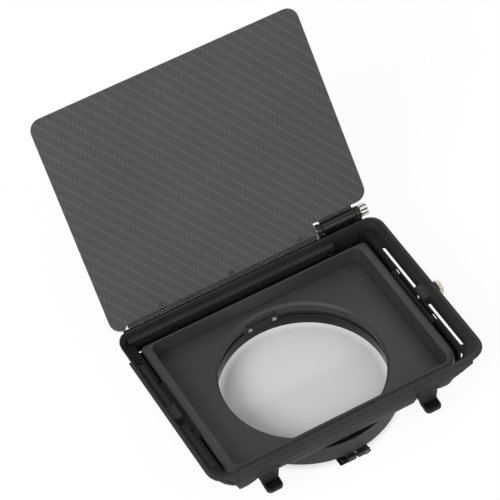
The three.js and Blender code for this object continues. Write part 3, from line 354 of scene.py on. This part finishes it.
def carbon():
    """Two-over-two carbon twill under a satin lacquer, laid in the flag's own plane."""
    g = Finish("carbon_twill")
    at_hinge = g.add("ShaderNodeMapping", {"Vector": g.place, "Location": -HINGE}).outputs[0]
    place = g.turned(g.turned(at_hinge, "X_AXIS", -FLAG_TILT), "Z_AXIS", TWILL_ANGLE)
    axes = g.axes(place)
    across, along = g.math("DIVIDE", axes["X"], TOW), g.math("DIVIDE", axes["Y"], TOW)
    column, row = g.math("FLOOR", across), g.math("FLOOR", along)
    phase = g.math("FLOORED_MODULO", g.math("ADD", column, row), TWILL_REPEAT)
    warp_up = g.math("LESS_THAN", phase, TWILL_FLOAT)
    weft_up = g.math("SUBTRACT", 1.0, warp_up)

    def on_top(warp, weft):
        """The value of the tow that is on top."""
        return g.math("ADD", g.product(warp_up, warp), g.product(weft_up, weft))

    warp_step = g.math("FLOORED_MODULO", g.math("ADD", along, column), TWILL_REPEAT)
    shifted = g.math("ADD", g.math("ADD", across, row), TWILL_FLOAT)
    weft_step = g.math("FLOORED_MODULO", shifted, TWILL_REPEAT)
    height = on_top(tow_height(g, g.math("FRACT", across), warp_step),
                    tow_height(g, g.math("FRACT", along), weft_step))
    fibres = on_top(g.lines(WARP_FIBRES, 2, place), g.lines(WEFT_FIBRES, 2, place))

    # The weave's colour: lighter on the tows' crowns and darker where they dip under, a painted shade, and warp
    # tows lighter than weft tows, a painted sheen; the fibre lines are the weave's own texture.
    level, warp_painted_sheen, weft_painted_sheen = 0.082, 1.0, 0.84
    warp_rough, weft_rough, fibre_rough, fibre_height = 0.52, 0.56, 0.06, 0.15
    tone_span, tone_range = (0.1, 0.9), (0.8, 1.16)
    tone = g.weighted((height, 0.55), (fibres, 0.45))
    drift = g.remap(g.noise(60 * MM, detail=3), *BROAD, new_low=0.94, new_high=1.06)
    speckle = g.remap(g.noise(0.7 * MM, roughness=0.6), *BROAD, new_low=0.9, new_high=1.1)
    value = g.product(g.remap(tone, *tone_span, *tone_range), on_top(warp_painted_sheen, weft_painted_sheen),
                      drift, speckle, level)
    channels = {"Red": value, "Green": value, "Blue": g.product(value, BLUE_TINT)}
    lacquer = g.bump(g.noise(0.5 * MM, detail=3), depth=0.01 * MM, strength=0.5)
    weave = g.bump(g.plus(height, (fibres, fibre_height)), depth=0.04 * MM, strength=0.45, normal=lacquer)
    return g.surface(Base_Color=g.add("ShaderNodeCombineColor", channels).outputs[0],
                     Roughness=g.plus(on_top(warp_rough, weft_rough), (fibres, fibre_rough)),
                     Specular_IOR_Level=0.26, Normal=weave)


def gloss():
    """Polished black with faint handling marks."""
    g = Finish("polished_black")
    dark, pale = 0.003, 0.006
    rough_least, rough_most = 0.24, 0.36
    smears = g.noise(1.5 * MM, detail=4, roughness=0.65)
    return g.surface(Base_Color=g.greys(g.noise(5 * MM), BROAD, dark, pale),
                     Roughness=g.remap(smears, *BROAD, rough_least, rough_most), Specular_IOR_Level=0.1,
                     Normal=g.bump(g.noise(0.7 * MM), depth=0.006 * MM, strength=0.4))


def bright_metal(name, level, rough):
    """Bare metal with fine turning scratches round x and slightly dull patches scattered at random."""
    g = Finish(name)
    dull_share, stain_span = 0.72, (0.3, 0.62)
    rough_least, rough_most = rough - 0.05, rough + 0.08
    lines = g.lines(TURNING_LINES, detail=3)
    stain = g.remap(g.noise(1.6 * MM, detail=3), *stain_span)
    colour = g.blend(stain, [channel * dull_share for channel in level] + [1], [*level, 1])
    return g.surface(Base_Color=colour, Metallic=1.0,
                     Roughness=g.remap(lines, *BROAD, rough_least, rough_most),
                     Normal=g.bump(lines, depth=0.008 * MM, strength=0.5))


def rubber():
    """Dull rubber with a powdery bloom."""
    g = Finish("black_rubber")
    dark, pale, bloom_and_painted_light_span = 0.012, 0.03, (0.4, 0.7)
    rough_least, rough_most = 0.72, 0.88
    bloom = g.noise(3 * MM, detail=4, roughness=0.65)
    return g.surface(Base_Color=g.greys(bloom, bloom_and_painted_light_span, dark, pale),
                     Roughness=g.remap(bloom, *BROAD, rough_least, rough_most), Specular_IOR_Level=0.3,
                     Normal=g.bump(g.noise(0.2 * MM, detail=3), depth=0.03 * MM, strength=0.6))


MATERIALS = {
    "moulded_black": moulded("moulded_black_plastic", level=0.027, rough=0.55, specular=0.2),
    "stage_black": stage_plastic(),
    "anodised_black": anodised("black_anodised_aluminium", edge_wear_and_highlight=0.2, edge=0.2 * MM),
    "carbon_sheet": carbon(),
    "gloss_black": gloss(),
    "knurled_steel": bright_metal("knurled_bright_steel", (0.8, 0.78, 0.75), rough=0.24),
    "screw_steel": bright_metal("zinc_plated_steel", (0.62, 0.62, 0.63), rough=0.3),
    "black_screw": bright_metal("black_oxide_steel", (0.16, 0.16, 0.165), rough=0.4),
    "spring_steel": bright_metal("oiled_spring_steel", (0.33, 0.33, 0.34), rough=0.32),
    "seal_rubber": rubber(),
    "bush_brass": bright_metal("turned_brass", (0.72, 0.52, 0.26), rough=0.28),
}
OWN_FINISH = {
    # The clip's edges are made brighter, a painted highlight along them as well as bare wear.
    "bore_clip": anodised("anodised_clip_with_bare_edges", edge_wear_and_highlight=0.9, edge=0.3 * MM),
    "clamp_thumbscrew": bright_metal("warm_knurled_steel", (0.74, 0.69, 0.62), rough=0.3),
}
# Near-black painted shade for the sockets, head rims and grooves of turned pieces.
PAINTED_RECESS_SHADE = moulded("oily_recess", level=0.002, rough=0.7, specular=0.1)
PAINTED_RECESS_SHADE_INDEX = 1                     # its place among a turned piece's materials


# Pieces: each takes the place of one node

WELD = 0.002 * MM
FLAT = math.radians(0.6)
SMOOTH = math.radians(40)
BEVEL_FROM = math.radians(34)
BEVEL_ROUND = 0.5                    # the profile of a round bevel
EDGE_SEGMENTS = 3
CREST_SEGMENTS = 4
CREST_RADIUS = 0.9 * MM
CREST_FROM = 36 * MM                 # height over the floor
ROOM_SHARE = 2.2                     # of the radius, free beside a rounded edge
ROUNDING_TRIES = 6
BARRED_REACH = 1.5                   # radii round a fault, one more at each try
LARGE_FACE = 0.3 * MM * MM           # twice the area from which a turned-over face counts
MOST_CORNERS = 4
EDGE_RADIUS_MM = {
    "hood_frame": 0.35, "stage_frame": 0.4, "stage_plate": 0.3, "collar_ring": 0.3, "clamp_ring": 0.3,
    "top_bar": 0.35, "side_rest_left": 0.25, "side_clamp_right": 0.25, "hinge_bracket": 0.3,
    "flag_plate": 0.2, "flag_hinge_leaf": 0.2, "latch_lever_left": 0.3, "latch_lever_right": 0.3,
    "latch_pad_left": 0.2, "latch_pad_right": 0.2, "bore_clip": 0.15, "light_seal": 0.25,
    "thumb_bush": 0.15, "friction_washer": 0.1, "clamp_nut": 0.15, "latch_pin_left": 0.15,
    "latch_pin_right": 0.15,
}


def add_piece(node, ending, work, recessed=False):
    """Puts a mesh in the scene in place of a node: same body, the finish of the node's slot or its own,
    smooth on curves and crisp on flats."""
    mesh = bpy.data.meshes.new(node + "_surface")
    piece = bpy.data.objects.new(node + ending, mesh)
    bpy.context.scene.collection.objects.link(piece)
    mesh.materials.append(OWN_FINISH.get(node, MATERIALS[SLOT_OF[node]]))
    if recessed:
        mesh.materials.append(PAINTED_RECESS_SHADE)
    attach(piece, BODY_OF[node])
    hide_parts(node)
    bmesh.ops.recalc_face_normals(work, faces=work.faces)
    work.to_mesh(mesh)
    work.free()
    mesh.shade_smooth()
    mesh.set_sharp_from_angle(angle=SMOOTH)
    shade = piece.modifiers.new("even_shading", "WEIGHTED_NORMAL")
    shade.keep_sharp = True


def tidy_solid(node):
    """The node's solid with its flats merged and its many-sided faces split evenly."""
    work = bmesh.new()
    work.from_mesh(frame["nodes"][node].data)
    bmesh.ops.remove_doubles(work, verts=work.verts, dist=WELD)
    bmesh.ops.dissolve_limit(work, angle_limit=FLAT, verts=work.verts, edges=work.edges)
    bmesh.ops.recalc_face_normals(work, faces=work.faces)
    large = [face for face in work.faces if len(face.verts) > MOST_CORNERS]
    bmesh.ops.triangulate(work, faces=large, ngon_method="BEAUTY")
    return work


def creases(work, radius, wanted):
    """The wanted sharp edges that have room for that rounding at both ends."""
    room = {vertex: min(edge.calc_length() for edge in vertex.link_edges) for vertex in work.verts}
    return [edge for edge in work.edges
            if edge.is_manifold and edge.calc_face_angle() > BEVEL_FROM and wanted(edge)
            and min(room[vertex] for vertex in edge.verts) > ROOM_SHARE * radius]


def stray_corners(work, solid, reach):
    """Corners of the faces that left the solid's surface or turned over."""
    strays = []
    for loops in work.calc_loop_triangles():
        corners = [loop.vert.co for loop in loops]
        middle = sum(corners, Vector()) / len(corners)
        _, normal, _, distance = solid.find_nearest(middle)
        across = (corners[1] - corners[0]).cross(corners[2] - corners[0])
        if distance > reach or (across.length > LARGE_FACE and across.dot(normal) < 0):
            strays += [corner.copy() for corner in corners]
    return strays


def rounded(source, radius, segments, wanted=lambda edge: True):
    """The mesh with its wanted creases rounded, apart from those that would tear its surface."""
    solid = BVHTree.FromBMesh(source)
    source.edges.index_update()
    barred = set()
    for attempt in range(ROUNDING_TRIES):
        work = source.copy()
        work.edges.index_update()
        chosen = [edge for edge in creases(work, radius, wanted) if edge.index not in barred]
        ends = {edge.index: [vertex.co.copy() for vertex in edge.verts] for edge in chosen}
        corners = {vertex for edge in chosen for vertex in edge.verts}
        bmesh.ops.bevel(work, geom=chosen + list(corners), offset=radius, segments=segments,
                        profile=BEVEL_ROUND, affect="EDGES", clamp_overlap=False)
        strays = stray_corners(work, solid, radius)
        if not strays:
            source.free()
            return work
        tree = KDTree(len(strays))
        for index, corner in enumerate(strays):
            tree.insert(corner, index)
        tree.balance()
        reach = radius * (BARRED_REACH + attempt)
        barred |= {index for index, pair in ends.items() if min(tree.find(end)[2] for end in pair) < reach}
        work.free()
    return source


def on_crest(edge):
    """Whether an edge belongs to the hood's soft front crest."""
    middle = (edge.verts[0].co + edge.verts[1].co) / 2
    return middle.z > CREST_FROM


def dressed(node, radius):
    """The node's solid with its edges rounded, the hood's crest more than the rest."""
    work = tidy_solid(node)
    if node == "hood_frame":
        work = rounded(work, CREST_RADIUS, CREST_SEGMENTS, on_crest)
    work = rounded(work, radius, EDGE_SEGMENTS)
    add_piece(node, "_body", work)


for node, radius in EDGE_RADIUS_MM.items():
    dressed(node, radius * MM)


# Turned pieces: skins over rings of points, whose sizes are shares of the solid's own

UPRIGHT = 0.9                             # the z of an axis that is taken as upright
SCREW_SIDES = 24
SCREW_POINT = ((0, 0.6), (0.3, 0.88))     # steps from the tip and radii, in shank radii
THREAD_FROM, THREAD_TO = 0.4, 0.3         # shank radii from the tip and from the seat
THREAD_PITCH = 0.5 * MM
THREAD_DEPTH = 0.5 * THREAD_PITCH
THREAD_STEPS = 6                          # rings for each turn
THREAD_FEWEST = 2
SCREW_NECK = ((0.15, 0.85), (0, 0.9))     # steps before the seat and radii, in shank radii
CHAMFER_OF_HEAD, CHAMFER_OF_HEIGHT = 0.18, 0.35
CORNER_BREAK = 0.3                        # of the chamfer
FACE_SHARE = 0.78                         # of the head's radius; inside it, out from the socket, the head's face has no painted shade
SOCKET_OF_HEAD, SOCKET_DEPTH = 0.48, 0.65
SOCKET_MOUTH, SOCKET_FOOT, SOCKET_POINT = 1.12, 0.98, 0.4
POINT_DEPTH = 0.1                         # of the head's height
SCREW_TOWARD = {
    "stage_screw": (0, 0, -1), "collar_screw": (0, 0, -1), "bore_clip_screw": (0, -1, 0),
    "top_bar_screw": (0, -1, 0), "bracket_screw": (0, 1, 0), "clamp_screw": (-1, 0, 0),
    "flag_screw": FLAG_FACE,
}
# The screw kind left without painted shade.
UNSHADED_SCREW = "bore_clip_screw"

GROOVE_STEPS = 8                          # sides for each groove
KNOB_TIP, KNOB_SHANK = 0.7, 0.98          # radii, in shank radii
KNOB_POINT = 0.25                         # length, in shank radii
SHANK_STEPS = (0.02, 0.5, 0.98)
BODY_STEPS = (0.25, 0.5, 0.75)
RIM_BREAK = 0.2                           # of the bevel
RIM_FACE, DISH_MOUTH, DISH_FLOOR, DISH_MIDDLE = 0.96, 0.7, 0.6, 0.2  # radii, in the rim's

SPRING_TURNS = 3
SPRING_CLEARANCE = 0.25 * MM
SPRING_STEPS = 24
WIRE_SIDES = 10


def turned_frame(axis):
    """Two directions across an axis."""
    side = Vector((0, 0, 1)) if abs(axis.z) < UPRIGHT else ACROSS
    first = axis.cross(side).normalized()
    return first, axis.cross(first)


def ring(centre, axis, radius_at, sides):
    """Points round an axis, their radius worked out from their angle."""
    first, second = turned_frame(axis)
    points = []
    for step in range(sides):
        angle = 2 * math.pi * step / sides
        radius = radius_at(angle)
        points.append(centre + first * (math.cos(angle) * radius) + second * (math.sin(angle) * radius))
    return points


def skin(rings):
    """Joins rings of points in turn, with a fan over each end."""
    work = bmesh.new()
    rows = [[work.verts.new(point) for point in points] for points in rings]
    sides = len(rows[0])
    for lower, upper in zip(rows, rows[1:]):
        for step in range(sides):
            following = (step + 1) % sides
            work.faces.new((lower[step], lower[following], upper[following], upper[step]))
    for row in (rows[0], rows[-1]):
        middle = work.verts.new(sum((vertex.co for vertex in row), Vector()) / sides)
        for step in range(sides):
            work.faces.new((row[step], row[(step + 1) % sides], middle))
    return work


def turned_sizes(node, axis):
    """A turned solid's centre line, its tip, seat and top along the axis, and its shank and head radii."""
    low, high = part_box(node)
    middle = (Vector(low) + Vector(high)) / 2
    centre = middle - axis * middle.dot(axis)
    reach = {}
    for point in [vertex.co for vertex in frame["nodes"][node].data.vertices]:
        along = round(point.dot(axis) / WELD) * WELD
        radius = (point - axis * point.dot(axis) - centre).length
        reach[along] = max(reach.get(along, 0), radius)
    steps = sorted(reach.items())
    tip, shank = steps[0]
    top = steps[-1][0]
    head = max(reach.values())
    seat = min(along for along, radius in steps if radius > (head + shank) / 2)
    return centre, tip, seat, top, shank, head


def add_turned(node, centre, axis, rows, sides, in_recess):
    """Skins rows of a place along the axis and a radius by angle, with painted shade on its recesses."""
    work = skin([ring(centre + axis * along, axis, radius_at, sides) for along, radius_at in rows])
    for face in work.faces:
        middle = face.calc_center_median()
        along = middle.dot(axis)
        if in_recess(along, (middle - axis * along - centre).length):
            face.material_index = PAINTED_RECESS_SHADE_INDEX
    add_piece(node, "_turned", work, recessed=True)


def plain(radius):
    """The same radius at every angle."""
    return lambda angle: radius


def hexagon(apothem):
    """The radius of a hexagon's sides."""
    wedge = math.pi / 3
    return lambda angle: apothem / math.cos((angle + wedge / 2) % wedge - wedge / 2)


def threaded(radius, along):
    """The radius of a helical thread at that place along its axis."""
    def radius_at(angle):
        wave = (along / THREAD_PITCH - angle / (2 * math.pi)) % 1
        return radius - THREAD_DEPTH * abs(2 * wave - 1)
    return radius_at


def fluted(radius, depth, count):
    """The radius of a knob with rounded grooves between broad lands."""
    return lambda angle: radius - depth * (0.5 + 0.5 * math.cos(count * angle)) ** 3


def thread_rows(start, end, radius):
    """Rows of a helical thread between two places along an axis."""
    count = max(THREAD_FEWEST, round(abs(end - start) / THREAD_PITCH * THREAD_STEPS))
    places = [start + (end - start) * step / count for step in range(count + 1)]
    return [(along, threaded(radius, along)) for along in places]


def screw(node, toward, shade_recesses):
    """A socket screw: chamfered head with a hexagon socket, and a threaded shank."""
    axis = Vector(toward).normalized()
    centre, tip, seat, top, shank, head = turned_sizes(node, axis)
    height = top - seat
    chamfer = min(CHAMFER_OF_HEAD * head, CHAMFER_OF_HEIGHT * height)
    socket = SOCKET_OF_HEAD * head
    floor = top - SOCKET_DEPTH * height
    corner = chamfer * CORNER_BREAK

    rows = [(tip + shank * step, plain(shank * share)) for step, share in SCREW_POINT]
    rows += thread_rows(tip + shank * THREAD_FROM, seat - shank * THREAD_TO, shank)
    rows += [(seat - shank * step, plain(shank * share)) for step, share in SCREW_NECK]
    rows += [(seat, plain(head - chamfer / 2)), (seat + chamfer / 2, plain(head)),
             (top - chamfer, plain(head)), (top - corner, plain(head - corner)),
             (top, plain(head - chamfer)), (top, plain(head * FACE_SHARE)),
             (top, hexagon(socket * SOCKET_MOUTH)), (top - corner, hexagon(socket)),
             (floor, hexagon(socket * SOCKET_FOOT)),
             (floor - height * POINT_DEPTH, hexagon(socket * SOCKET_POINT))]

    # Painted shade in the socket and round the head's rim and sides, for the screws that get it.
    def in_recess(along, away):
        return shade_recesses and along > seat and not socket < away < head * FACE_SHARE

    add_turned(node, centre, axis, rows, SCREW_SIDES, in_recess)


def knob(node, grooves, depth, bevel, dish):
    """A grip with grooves and chamfered rims on its own shank, along x."""
    centre, tip, seat, top, shank, head = turned_sizes(node, ACROSS)
    grip = fluted(head, depth, grooves)
    rim = head - bevel
    neck = tip + shank * KNOB_POINT
    body = top - seat - 2 * bevel

    rows = [(tip, plain(shank * KNOB_TIP)), (neck, plain(shank * KNOB_SHANK))]
    rows += [(neck + (seat - neck) * share, plain(shank)) for share in SHANK_STEPS]
    rows += [(seat, plain(rim * RIM_FACE)), (seat + bevel * RIM_BREAK, plain(rim)), (seat + bevel, grip)]
    rows += [(seat + bevel + body * share, grip) for share in BODY_STEPS]
    rows += [(top - bevel, grip), (top - bevel * RIM_BREAK, plain(rim)), (top, plain(rim * RIM_FACE)),
             (top, plain(rim * DISH_MOUTH)), (top - dish, plain(rim * DISH_FLOOR)),
             (top - dish, plain(rim * DISH_MIDDLE))]

    # Painted shade down in the grooves of the grip.
    def in_recess(along, away):
        return seat + bevel < along < top - bevel and away < head - depth / 2

    add_turned(node, centre, ACROSS, rows, grooves * GROOVE_STEPS, in_recess)


def coil_spring(node, pin):
    """A torsion spring wound round its pin, inside the space of its solid."""
    low, high = [Vector(corner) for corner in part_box(node)]
    pin_low, pin_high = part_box(pin)
    middle = (low + high) / 2
    outside = (high.z - low.z) / 2
    inside = (pin_high[2] - pin_low[2]) / 2 + SPRING_CLEARANCE
    wire = (outside - inside) / 2
    reach = (high.x - low.x) / 2 - wire
    count = SPRING_TURNS * SPRING_STEPS
    rings = []
    for step in range(count + 1):
        angle = 2 * math.pi * step / SPRING_STEPS
        along = -reach + 2 * reach * step / count
        outward = Vector((0, math.cos(angle), math.sin(angle)))
        centre = middle + ACROSS * along + outward * (outside - wire)
        rings.append([centre + (outward * math.cos(turn) + ACROSS * math.sin(turn)) * wire
                      for turn in (2 * math.pi * side / WIRE_SIDES for side in range(WIRE_SIDES))])
    add_piece(node, "_coil", skin(rings))


for node in sorted(frame["nodes"]):
    kind = node.rstrip("0123456789").rstrip("_")
    if kind in SCREW_TOWARD:
        screw(node, SCREW_TOWARD[kind], shade_recesses=kind != UNSHADED_SCREW)
knob("hinge_knob", grooves=8, depth=0.8 * MM, bevel=0.45 * MM, dish=0.5 * MM)
knob("clamp_thumbscrew", grooves=28, depth=0.35 * MM, bevel=0.4 * MM, dish=0.4 * MM)
for side in ("left", "right"):
    coil_spring("latch_spring_" + side, "latch_pin_" + side)


# Floor, lights and camera

FLOOR_SIZE = 8.0
FLOOR_DROP = 0.2 * MM
PAPER_DARK, PAPER_PALE = (0.74, 0.74, 0.75, 1), (0.78, 0.78, 0.78, 1)
PAPER_CLOUDS = 0.4
PAPER_ROUGHNESS = 0.6
SHADOW_FROM, SHADOW_TO = 46 * MM, 58 * MM   # from the lens axis
SHADOW_GLOW, OPEN_GLOW = 0.03, 0.86         # shares of the glow that the camera sees
GLOW = 1.06
WHITE = (1, 1, 1, 1)
DOME_LIGHT, DOME_SEEN = 0.54, 1.0
LAMP_TARGET = Vector((0, 0.03, 0.03))
CAMERA_PLACE = Vector((-0.4246, -0.8863, 1.2454))
CAMERA_RIGHT = Vector((0.8698, -0.4876, -0.0756))
CAMERA_UP = Vector((0.4118, 0.6329, 0.6556))
CAMERA_LENS, CAMERA_SENSOR = 197.76, 36
CAMERA_CLIP = (0.01, 50)


def floor_material():
    """Pale ground that the camera sees as white paper, with a soft shadow round the middle."""
    g = Finish("pale_ground")
    colour = g.blend(g.remap(g.noise(PAPER_CLOUDS, detail=3), *BROAD), PAPER_DARK, PAPER_PALE)
    ground = g.add("ShaderNodeBsdfDiffuse", {"Color": colour, "Roughness": PAPER_ROUGHNESS})
    glow = g.add("ShaderNodeEmission", {"Color": WHITE, "Strength": GLOW})
    level = g.add("ShaderNodeVectorMath", {0: g.place, 1: (1, 1, 0)}, operation="MULTIPLY").outputs[0]
    away = g.add("ShaderNodeVectorMath", {0: level}, operation="LENGTH").outputs["Value"]
    share = g.remap(away, SHADOW_FROM, SHADOW_TO, SHADOW_GLOW, OPEN_GLOW)
    return g.end_mixed(g.product(g.seen(), share), ground, glow)


def make_floor():
    half = FLOOR_SIZE / 2
    mesh = bpy.data.meshes.new("ground")
    corners = [(-half, -half, 0), (half, -half, 0), (half, half, 0), (-half, half, 0)]
    mesh.from_pydata(corners, [], [(0, 1, 2, 3)])
    floor = bpy.data.objects.new("ground", mesh)
    bpy.context.scene.collection.objects.link(floor)
    mesh.materials.append(floor_material())
    floor.location.z = -FLOOR_DROP


def make_softbox(name, place, size, power):
    """A rectangular lamp turned towards the object."""
    light = bpy.data.lights.new(name, "AREA")
    light.shape = "RECTANGLE"
    light.size, light.size_y = size
    light.energy = power
    item = bpy.data.objects.new(name, light)
    bpy.context.scene.collection.objects.link(item)
    item.location = place
    item.rotation_euler = (LAMP_TARGET - item.location).to_track_quat("-Z", "Y").to_euler()


def make_dome():
    """A white studio all round, dimmer as a light than it looks."""
    world = bpy.data.worlds.new("studio")
    bpy.context.scene.world = world
    g = Graph(world, "ShaderNodeOutputWorld")
    lit, seen = [g.add("ShaderNodeBackground", {"Color": WHITE, "Strength": strength})
                 for strength in (DOME_LIGHT, DOME_SEEN)]
    g.end_mixed(g.seen(), lit, seen)


def make_camera():
    """The camera that was solved from the photograph."""
    data = bpy.data.cameras.new("photo_camera")
    data.sensor_width = CAMERA_SENSOR
    data.lens = CAMERA_LENS
    data.clip_start, data.clip_end = CAMERA_CLIP
    camera = bpy.data.objects.new("photo_camera", data)
    bpy.context.scene.collection.objects.link(camera)
    right = CAMERA_RIGHT.normalized()
    toward = right.cross(CAMERA_UP).normalized()
    up = toward.cross(right)
    axes = Matrix((right, up, toward)).transposed()
    camera.matrix_world = Matrix.Translation(CAMERA_PLACE) @ axes.to_4x4()
    bpy.context.scene.camera = camera


make_floor()
make_softbox("key_left", place=(-1.2, -0.6, 1.1), size=(1.0, 0.7), power=14)
make_softbox("front_fill", place=(0.2, -1.7, 1.1), size=(1.6, 0.12), power=5)
make_softbox("back_rim", place=(0.7, 1.6, 1.2), size=(1.4, 0.6), power=6)
make_dome()
make_camera()
bpy.context.scene.view_settings.view_transform = "Standard"
